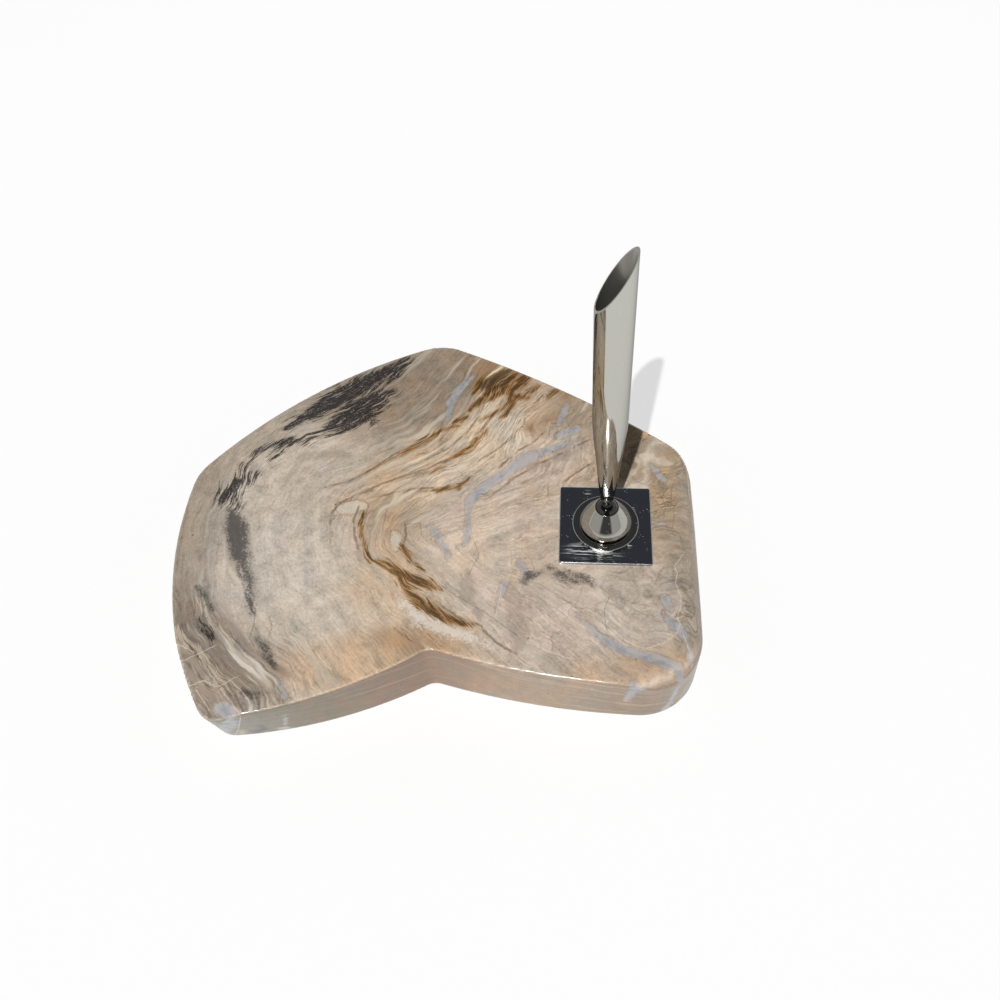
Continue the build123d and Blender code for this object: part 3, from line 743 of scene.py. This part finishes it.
umber, crack, healed = hairline("umber", 0.7), hairline("crack", 0.28), hairline("healed", 0.26)
crack = wire.times(crack, wire.rise(grit, 0.36, 0.56))
umber = wire.times(umber, wire.rise(mottle, 0.34, 0.56))
# Painted highlight: the front edge of the top is painted pale where the light catches it.
ridge_highlight = wire.times(wire.kept("ridge_highlight"), wire.rise(wire.noise(place, 0.3, 4.0), 0.3, 0.6))
colour = wire.lay(colour, (226, 207, 189), ridge_highlight, 0.6)
colour = wire.lay(colour, (226, 216, 202), healed, 0.45)
colour = wire.lay(colour, (104, 76, 48), umber, 0.62)
colour = wire.lay(colour, (84, 72, 62), crack, 0.55)
wire.feed(shader.inputs, {"Base Color": colour})
print("stone: hairlines wired")

# %% [markdown]
# ## Polish and relief of the stone
# The top is polished and mirrors the room a little. The walls are honed, chalky and cracked places are
# dull, and the underside is as the saw left it, with fine parallel marks.

# %% Stone: polish and relief
under = wire.kept("under")
dull = wire.plus(0.04, bloom, 0.12, side, 0.16, crack, 0.3, under, 0.35, speck, 0.2)
saw_marks = wire.times(wire.noise(wire.stretch(place, 0.02, 1.6, 0.1), 1.0, 3.0), under, 1.5)
relief = wire.plus(wire.sway(saw_marks, wire.noise(place, 0.12, 2.0), 0.6), speck, 0.25, crack, -1.0)
polish = {"Roughness": dull, "Normal": wire.bump(relief, 0.18, 0.1 * MM), "IOR": 1.54}
wire.feed(shader.inputs, polish)
slab.data.materials.append(stone)
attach(slab, "stand")
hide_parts("stone_slab")
print("stone:", len(stone.node_tree.nodes), "nodes")

# %% [markdown]
# ## Wear of metal
# All the metal pieces have been handled. Wear is three things: fine straight scratches in a few
# directions, small bright specks, and broad greasy smudges. It is built once as a node group with a
# place and an amount as inputs, and each metal takes from it what it needs.

# %% Metal wear group
SCRATCH_TURNS = {8: 0.0, 67: 31.0, -38: 57.0}
SCRATCH_STRETCH = (0.11, 2.6, 0.5)

wear_tree = bpy.data.node_groups.new("metal_wear", "ShaderNodeTree")
wear_tree.interface.new_socket("Place", in_out="INPUT", socket_type="NodeSocketVector")
wear_tree.interface.new_socket("Amount", in_out="INPUT", socket_type="NodeSocketFloat")
for name in ("Scratches", "Specks", "Smudges"):
    wear_tree.interface.new_socket(name, in_out="OUTPUT", socket_type="NodeSocketFloat")
wire = Wiring(wear_tree)
given = wear_tree.nodes.new("NodeGroupInput").outputs
result = wear_tree.nodes.new("NodeGroupOutput").inputs

scratches = 0.0
for turn, shift in SCRATCH_TURNS.items():
    inputs = {"Vector": given["Place"], "Angle": radians(turn)}
    turned = wire.add("VectorRotate", inputs, rotation_type="Z_AXIS").outputs[0]
    drawn = wire.vector("MULTIPLY_ADD", turned, SCRATCH_STRETCH, (shift, shift, shift))
    scratches = wire.sum("MAXIMUM", wire.rise(wire.noise(drawn, 1.0, 2.0, 0.4), 0.66, 0.74), scratches)
patches = wire.noise(given["Place"], 0.16, 3.0, 0.6)
shown = wire.rise(wire.plus(wire.sum("SUBTRACT", patches, 0.3), given["Amount"], 0.3), 0.42, 0.6)
dots = wire.add("TexVoronoi", {"Vector": given["Place"], "Scale": 1.1}).outputs["Distance"]
dusty = wire.plus(wire.noise(given["Place"], 0.4, 2.0), given["Amount"], 0.2)
wire.feed(result, {
    "Scratches": wire.times(scratches, shown),
    "Specks": wire.times(wire.rise(dots, 0.22, 0.08), wire.rise(dusty, 0.64, 0.72)),
    "Smudges": wire.rise(wire.noise(given["Place"], 0.22, 4.0, 0.65), 0.4, 0.75),
})
print("metal wear:", len(wear_tree.nodes), "nodes")

# %% [markdown]
# ## Metals
# Chrome is a mirror, so nearly all it shows is its surroundings, and its own colour is a grey that is
# darker than one expects. Zinc-plated steel, spring steel and brass are the same web with another
# colour and polish, so one function wires them all and the numbers tell them apart. The plate also has
# a few rubbed places round the socket, with scuffs that run across it, and a worn edge. The scuffs are
# painted bright, and the small spot just in front of the socket is a painted highlight for the glare of
# the light. The ball and the inside of the funnel are painted a darker grey for the shade they lie in.


# %% Metal materials
def metal(name, colour, worn_colour, polish, amount, edge=1.0, metallic=1.0, scuffs_and_glare=()):
    """A metal with scratches, specks and smudges, and bright scuffed spots at (x, y, reach x, reach y,
    from), some of them painted glare.
    """
    material, wire, shader = new_material(name)
    place = wire.millimetres()
    wear = wire.add("Group", {"Place": place, "Amount": amount}, node_tree=wear_tree)
    scratches, specks, smudges = wear.outputs
    marks = wire.sum("MAXIMUM", scratches, specks)
    for x, y, reach_x, reach_y, lowest in scuffs_and_glare:
        centred = wire.vector("SUBTRACT", place, (x, y, 0))
        reach = wire.vector("LENGTH", wire.stretch(centred, 1 / reach_x, 1 / reach_y, 0))
        scuffs = wire.noise(wire.stretch(place, 0.08, 1.2, 0), 1.0, 4.0, 0.65)
        scuffs = wire.rise(scuffs, lowest, lowest + 0.13)
        marks = wire.sum("MAXIMUM", marks, wire.times(scuffs, wire.rise(reach, 1.1, 0.5)))
    height = wire.sway(wire.times(marks, -0.5), smudges, 0.2)
    wire.feed(shader.inputs, {
        "Base Color": wire.mix(marks, colour, worn_colour), "Metallic": metallic,
        "Roughness": wire.plus(polish, smudges, 0.07, marks, 0.6),
        "Normal": wire.bump(height, 0.2, 0.02 * MM), "Specular Tint": (edge, edge, edge, 1.0),
    })
    return material


chrome = metal("bright_chrome", paint(190, 189, 181), paint(222, 222, 220), 0.03, 0.3, edge=0.45)
dome_chrome = metal("grey_chrome", paint(168, 167, 160), paint(222, 222, 220), 0.05, 0.45)
# Scuffed spots on the plate, painted bright where glints show; the small one just in front of the socket is
# a painted highlight for the glare.
SCUFFS_AND_GLARE = [
    (60, -17.5, 15, 5, 0.47), (62.8, -17.5, 1.8, 5, 0.42), (58.5, 9.5, 2.2, 1.5, 0.45),
    (76, 1.5, 1.2, 2.2, 0.45), (73, -15, 2.5, 2, 0.46), (53.5, -2, 1.2, 2, 0.47),
]
plate_chrome = metal("scuffed_chrome", paint(170, 173, 181), paint(236, 236, 236), 0.03, 0.6, scuffs_and_glare=SCUFFS_AND_GLARE)
edge_chrome = metal("worn_edge_chrome", paint(190, 191, 193), paint(230, 230, 230), 0.24, 0.6)
# Painted shade: the ball lies deep in the dome's hole, and its chrome is painted dark grey for the shade
# there.
ball_chrome_painted_shade = metal("chrome_painted_dark_for_shade", paint(72, 72, 74), paint(190, 190, 190), 0.04, 0.3)
# Painted shade: the inside of the funnel is a darker grey for the shade in the tube, and it also has a
# duller finish.
inner_chrome_painted_shade = metal("inner_chrome_painted_shade", paint(138, 137, 130), paint(170, 170, 166), 0.3, 0.6, metallic=0.8)
steel = metal("zinc_plated_steel", paint(176, 178, 176), paint(205, 205, 202), 0.3, 0.8)
spring_steel = metal("oiled_spring_steel", paint(96, 96, 98), paint(150, 150, 150), 0.28, 0.8)
brass = metal("turned_brass", paint(196, 158, 92), paint(222, 196, 140), 0.25, 0.8)
print("metals: 9 materials")

# %% [markdown]
# ## The plate
# The cover plate is a stamped square with soft corners, and its rolled top edge catches the light as a
# bright line. A ring between a circle and a square is two loops bridged together. Pushed down it is a
# plate with its hole, and a bevel rolls the edge. Each flat keeps its own normals, or the mirror bends.

# %% Pieces and their bodies
FACET_ANGLE = 25.0


def bevel(mesh, parts, offset, segments, affect="EDGES", material=-1):
    """Round edges or points of the mesh."""
    bmesh.ops.bevel(
        mesh, geom=parts, offset=offset, segments=segments, profile=0.5, affect=affect, material=material
    )


def as_piece(mesh, name, body, materials, stands_for, facet_angle=FACET_ANGLE, at=Matrix()):
    """Make the mesh a piece that rides on a body and stands for a CAD node."""
    bmesh.ops.transform(mesh, matrix=at, verts=mesh.verts)
    data = bpy.data.meshes.new(name)
    mesh.to_mesh(data)
    mesh.free()
    data.shade_smooth()
    data.set_sharp_from_angle(angle=radians(facet_angle))
    for material in materials:
        data.materials.append(material)
    piece = placed(name, data)
    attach(piece, body)
    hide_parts(stands_for)
    print(name, "has", len(data.polygons), "faces")


# %% Plate
PLATE_HOLE, PLATE_CORNER, PLATE_EDGE = 4.0 * MM, 1.0 * MM, 0.45 * MM
TOP_SLACK, PLATE_FACET_ANGLE = 0.01 * MM, 10.0
plate_low, plate_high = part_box("cover_plate")
plate_side = plate_high.x - plate_low.x
plate_top = plate_high.z / MM
plate_middle = (plate_low + plate_high) / 2
plate_middle.z = plate_high.z
above_plate = Matrix.Translation(plate_middle)

plate = bmesh.new()
quarter_turn = Matrix.Rotation(pi / 4, 4, "Z")
square = bmesh.ops.create_circle(
    plate, segments=4, radius=plate_side / 2**0.5, matrix=above_plate @ quarter_turn
)["verts"]
bevel(plate, square, PLATE_CORNER, 6, "VERTICES")
bmesh.ops.create_circle(plate, segments=64, radius=PLATE_HOLE, matrix=above_plate)
ring = bmesh.ops.bridge_loops(plate, edges=plate.edges[:])["faces"]
lower = bmesh.ops.extrude_face_region(plate, geom=ring)["geom"]
lower = [part for part in lower if isinstance(part, bmesh.types.BMVert)]
bmesh.ops.translate(plate, vec=(0, 0, plate_low.z - plate_high.z), verts=lower)
bmesh.ops.recalc_face_normals(plate, faces=plate.faces)


def on_rim(vert):
    """Whether the point lies on the plate's top and away from its hole."""
    return vert.co.z > plate_high.z - TOP_SLACK and (vert.co - plate_middle).length > 2 * PLATE_HOLE


rolled = [edge for edge in plate.edges if all(map(on_rim, edge.verts)) and edge.calc_face_angle(0) > 1]
bevel(plate, rolled, PLATE_EDGE, 5, material=1)
as_piece(
    plate, "stamped_plate", "stand", [plate_chrome, edge_chrome], "cover_plate", PLATE_FACET_ANGLE
)

# %% [markdown]
# ## Turned pieces
# The dome, the base, the ball and the funnel are all turned on a lathe, so each is half an outline
# spun round an axis. The outline is a line of points, and a corner that is rounded is bevelled as a
# point, which puts an arc in its place. Spinning with merge closes the seam, and the normals are then
# recalculated so that all faces point outwards.

# %% Lathe
SPIN_STEPS, SEAM_GAP, ARC_STEP = 128, 0.002 * MM, radians(4)


def rounded_line(mesh, corners, close=False):
    """Line through (radius, height, rounding) corners in millimetres, with each corner rounded."""
    points = [Vector((r, 0, h)) * MM for r, h, _ in corners]
    verts = [mesh.verts.new(p) for p in points]
    for a, b in zip(verts, verts[1:] + verts[:1] if close else verts[1:]):
        mesh.edges.new((a, b))
    for index, (_, _, rounding) in enumerate(corners):
        if rounding:
            before = points[index] - points[index - 1]
            after = points[(index + 1) % len(points)] - points[index]
            turn = before.angle(after)
            steps = max(4, round(turn / ARC_STEP))
            bevel(mesh, [verts[index]], rounding * MM * tan(turn / 2), steps, "VERTICES")


def spun(mesh):
    """Spin the line that is in the mesh once round the Z axis."""
    bmesh.ops.spin(
        mesh, geom=mesh.verts[:] + mesh.edges[:], cent=(0, 0, 0), axis=(0, 0, 1), angle=2 * pi,
        steps=SPIN_STEPS, use_merge=True,
    )
    bmesh.ops.remove_doubles(mesh, verts=mesh.verts, dist=SEAM_GAP)
    bmesh.ops.recalc_face_normals(mesh, faces=mesh.faces)


# %% [markdown]
# ## Socket base and dome
# The base is a flat flange with a rounded edge, a boss inside the dome and a hub that goes down
# through the plate. The dome is a cone on a short rim, with a rounded lip that holds the ball down.
# Their widest radii and heights are measured on the solids, so they fit the ball and the plate.

# %% Socket base
socket = Vector(joints["funnel_turn"]["pos_m"])
to_socket = Matrix.Translation((socket.x, socket.y, 0))
base_low, base_high = (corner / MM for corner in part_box("socket_base"))
flange_radius = (base_high.x - base_low.x) / 2
FLANGE_HEIGHT, POCKET_HEIGHT = 1.5, 2.2
BOSS_RADIUS, HUB_RADIUS, BORE_RADIUS, POCKET_RADIUS = 8.2, 3.9, 2.0, 4.72
flange_top, pocket_floor = plate_top + FLANGE_HEIGHT, plate_top + POCKET_HEIGHT

base = bmesh.new()
rounded_line(base, [
    (BORE_RADIUS, base_low.z, 0), (HUB_RADIUS, base_low.z, 0), (HUB_RADIUS, plate_top, 0),
    (flange_radius - 0.1, plate_top, 0), (flange_radius, plate_top + 0.1, 0),
    (flange_radius, flange_top, 0.45), (BOSS_RADIUS + 0.3, flange_top, 0.15),
    (BOSS_RADIUS, flange_top - 0.1, 0), (BOSS_RADIUS, base_high.z, 0), (POCKET_RADIUS, base_high.z, 0),
    (POCKET_RADIUS, pocket_floor, 0), (BORE_RADIUS, pocket_floor, 0),
], close=True)
spun(base)
as_piece(base, "flanged_base", "stand", [dome_chrome], "socket_base", at=to_socket)

# %% Dome
dome_low, dome_high = (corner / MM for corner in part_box("socket_dome"))
rim_radius = (dome_high.x - dome_low.x) / 2

dome = bmesh.new()
rounded_line(dome, [
    (BOSS_RADIUS, dome_low.z, 0), (rim_radius, dome_low.z, 0.3), (rim_radius, dome_low.z + 0.9, 0.25),
    (8.7, base_high.z, 20), (4.5, dome_high.z - 0.1, 0.5), (4.07, dome_high.z - 0.02, 0.1),
    (4.55, dome_high.z - 1.0, 0), (4.8, dome_high.z - 2.6, 0), (4.83, base_high.z, 0),
    (BOSS_RADIUS, base_high.z, 0),
], close=True)
spun(dome)
as_piece(dome, "bell_dome", "stand", [dome_chrome], "socket_dome", at=to_socket)

# %% [markdown]
# ## Ball and funnel
# The ball and the funnel share one axis, which the part's joints give. Both are spun upright about the
# ball's middle and then set on that axis together. The funnel gets its wall first, with a duller finish
# inside that is also painted a darker grey for the shade in the tube, and its slanting mouth is then one
# cut with a plane. The cut leaves two open edges, and bridging them makes the lip, which is lightly
# broken so that it catches the light.

# %% Ball with its neck
funnel_axis = Vector(joints["funnel_spin"]["axis"])
ball_centre = Vector(joints["funnel_spin"]["pos_m"])
heading = atan2(-funnel_axis.x, funnel_axis.y)
lean = funnel_axis.angle(Vector((0, 0, 1)))
leaning = Matrix.Rotation(heading, 4, "Z") @ Matrix.Rotation(-lean, 4, "X")
on_axis = Matrix.Translation(ball_centre) @ leaning
BALL_RADIUS, NECK_RADIUS, NECK_FOOT, NECK_TOP = 4.75, 1.7, 4.85, 7.0
BALL_ARC = radians(157)

ball = bmesh.new()
pole = ball.verts.new((0, 0, -BALL_RADIUS * MM))
bmesh.ops.spin(ball, geom=[pole], cent=(0, 0, 0), axis=(0, -1, 0), angle=BALL_ARC, steps=48)
tip = max(ball.verts, key=lambda v: v.co.z)
for height in (NECK_FOOT, NECK_TOP):
    tip = bmesh.ops.extrude_vert_indiv(ball, verts=[tip])["verts"][0]
    tip.co = Vector((NECK_RADIUS, 0, height)) * MM
spun(ball)
bmesh.ops.holes_fill(ball, edges=[edge for edge in ball.edges if edge.is_boundary])
as_piece(ball, "necked_ball", "ball", [ball_chrome_painted_shade], "swivel_ball", at=on_axis)

# %% Funnel
FUNNEL_TOP, MOUTH_RADIUS, SPARE, WALL, LIP = 122.1, 6.1, 12.0, 0.5, 0.12
SHOULDER_HEIGHT, SHOULDER_RADIUS, THROAT_HEIGHT, THROAT_RADIUS = 49.7, 5.97, 13.0, 3.0
END_RADIUS, END_HOLE = 2.3, 1.35
MOUTH_SLOPE, MOUTH_TURN = radians(60.0), radians(-88.0)
taper = (MOUTH_RADIUS - SHOULDER_RADIUS) / (FUNNEL_TOP - SHOULDER_HEIGHT)

funnel = bmesh.new()
rounded_line(funnel, [
    (END_HOLE, NECK_TOP, 0), (END_RADIUS, NECK_TOP, 1.5), (THROAT_RADIUS, THROAT_HEIGHT, 11),
    (SHOULDER_RADIUS, SHOULDER_HEIGHT, 120), (MOUTH_RADIUS + taper * SPARE, FUNNEL_TOP + SPARE, 0),
])
spun(funnel)
inside = bmesh.ops.solidify(funnel, geom=funnel.faces[:], thickness=WALL * MM)["geom"]
for part in inside:
    if isinstance(part, bmesh.types.BMFace):
        part.material_index = 1
mouth_normal = Vector((-cos(MOUTH_TURN) * tan(MOUTH_SLOPE), -sin(MOUTH_TURN) * tan(MOUTH_SLOPE), 1))
mouth_middle = Vector((0, 0, FUNNEL_TOP - tan(MOUTH_SLOPE) * MOUTH_RADIUS)) * MM
bmesh.ops.bisect_plane(
    funnel, geom=funnel.verts[:] + funnel.edges[:] + funnel.faces[:], plane_co=mouth_middle,
    plane_no=mouth_normal, clear_outer=True,
)
lip = bmesh.ops.bridge_loops(funnel, edges=[edge for edge in funnel.edges if edge.is_boundary])["faces"]
bmesh.ops.recalc_face_normals(funnel, faces=funnel.faces)
lip_edges = [edge for edge in funnel.edges if sum(face in lip for face in edge.link_faces) == 1]
bevel(funnel, lip_edges, LIP * MM, 3)
as_piece(funnel, "pen_funnel_tube", "funnel", [chrome, inner_chrome_painted_shade], "pen_funnel", at=on_axis)

# %% [markdown]
# ## Hidden pieces
# The fastening under the slab and the small pieces inside the socket and the funnel are plain turned
# and milled work, so the solids' own meshes serve, with a real finish on each. The four pads under
# the slab are felt, which has no gloss: its fibres show as a fine ragged relief and a pale fuzz.

# %% Felt and nylon
felt, wire, shader = new_material("pressed_felt")
place = wire.millimetres()
fibres = wire.noise(wire.stretch(place, 1, 1, 2), 2.4, 6.0, 0.75, 1.5)
tufts = wire.rise(wire.sway(fibres, wire.noise(place, 0.5, 3.0), 0.4), 0.3, 0.75)
wire.feed(shader.inputs, {
    "Base Color": wire.mix(tufts, paint(30, 44, 34), paint(70, 88, 72)), "Sheen Weight": 0.4,
    "Roughness": wire.plus(0.88, fibres, 0.1), "Normal": wire.bump(fibres, 0.8, 0.25 * MM),
})

nylon, wire, shader = new_material("moulded_nylon")
place = wire.millimetres()
wire.feed(shader.inputs, {
    "Base Color": wire.mix(wire.noise(place, 0.6, 3.0), paint(226, 221, 208), paint(238, 235, 226)),
    "Roughness": wire.plus(0.35, wire.noise(place, 2.0, 4.0), 0.2),
})
print("felt and nylon wired")

# %% Finishes of the pieces that keep their solids
FINISHES = {
    "ball_seat": nylon, "disc_spring": spring_steel, "funnel_screw": steel, "end_bush": brass,
    "mounting_stud": steel, "clamp_washer": steel, "lock_washer": spring_steel, "hex_nut": steel,
    "felt_pad_left_front": felt, "felt_pad_left_back": felt, "felt_pad_right_front": felt,
    "felt_pad_right_back": felt,
}
for node, finish in FINISHES.items():
    cad[node].data.materials.clear()
    cad[node].data.materials.append(finish)
print("finishes:", len(FINISHES), "solids dressed")

# %% [markdown]
# ## Floor, light and surroundings
# The picture has a white ground, a hard light from beside the camera and a dark room overhead, which
# the flat plate mirrors. The floor is white to the camera and to mirrors and still takes the shadow.
# The world is pale up to about a third of the way up and dark above, with a dark column in front where
# somebody would stand, so that the dome and the ball have something to mirror. Matt surfaces get less
# light from it than mirrors show.

# %% Floor
FLOOR_SIZE, FLOOR_GLOW, FLOOR_NEAR, FLOOR_FAR = 12.0, 0.65, 0.45, 1.8
FLOOR_PALE, FLOOR_WHITE, FLOOR_GREY = (0.95, 0.95, 0.95, 1.0), (1.0, 1.0, 1.0, 1.0), (0.55, 0.55, 0.54, 1.0)
floor_mesh = bmesh.new()
bmesh.ops.create_grid(floor_mesh, x_segments=1, y_segments=1, size=FLOOR_SIZE)
floor_data = bpy.data.meshes.new("pale_floor")
floor_mesh.to_mesh(floor_data)
floor_mesh.free()
floor = placed("pale_floor", floor_data)

white, wire, shader = new_material("floor_white")
place = wire.add("TexCoord").outputs["Object"]
away = wire.rise(wire.vector("LENGTH", place), FLOOR_NEAR, FLOOR_FAR)
wire.feed(shader.inputs, {"Base Color": wire.mix(away, FLOOR_PALE, FLOOR_GREY), "Roughness": 0.8})
glow_colour = wire.mix(away, FLOOR_WHITE, FLOOR_GREY)
glow = wire.add("Emission", {"Color": glow_colour, "Strength": 1.0}).outputs[0]
share = wire.times(wire.seen(), FLOOR_GLOW)
both = wire.add("MixShader", {0: share, 1: shader.outputs[0], 2: glow}).outputs[0]
wire.feed(white.node_tree.nodes["Material Output"].inputs, {"Surface": both})
floor_data.materials.append(white)

# %% Light and world
LIGHT_FROM, LIGHT_STRENGTH, LIGHT_ANGLE = Vector((-0.17, -0.7, 1.0)), 3.35, radians(0.8)
SKY_LOW, SKY_HIGH, SKY_FRONT = (0.66, 0.66, 0.65, 1.0), (0.065, 0.067, 0.073, 1.0), (0.1, 0.095, 0.1, 1.0)
MATT_LIGHT = 0.55
sun = bpy.data.lights.new("key_light", "SUN")
sun.energy, sun.angle = LIGHT_STRENGTH, LIGHT_ANGLE
key = placed("key_light", sun)
key.rotation_euler = LIGHT_FROM.to_track_quat("Z", "Y").to_euler()

world = bpy.data.worlds.new("studio")
bpy.context.scene.world = world
world.use_nodes = True
wire = Wiring(world.node_tree)
aim = wire.add("SeparateXYZ", {0: wire.add("TexCoord").outputs["Generated"]}).outputs
sky = wire.mix(wire.rise(aim[2], 0.5, 0.72), SKY_LOW, SKY_HIGH)
sideways = wire.times(wire.sum("ABSOLUTE", aim[0]), -1.7)
in_front = wire.rise(wire.sum("SUBTRACT", sideways, aim[1]), 0.0, 0.35)
column = wire.times(in_front, wire.rise(aim[2], -0.02, 0.06))
wire.feed(world.node_tree.nodes["Background"].inputs, {
    "Color": wire.mix(column, sky, SKY_FRONT),
    "Strength": wire.plus(MATT_LIGHT, wire.seen(), 1 - MATT_LIGHT),
})
bpy.context.scene.view_settings.view_transform = "Standard"
print("light from", [round(v, 2) for v in LIGHT_FROM.normalized()])
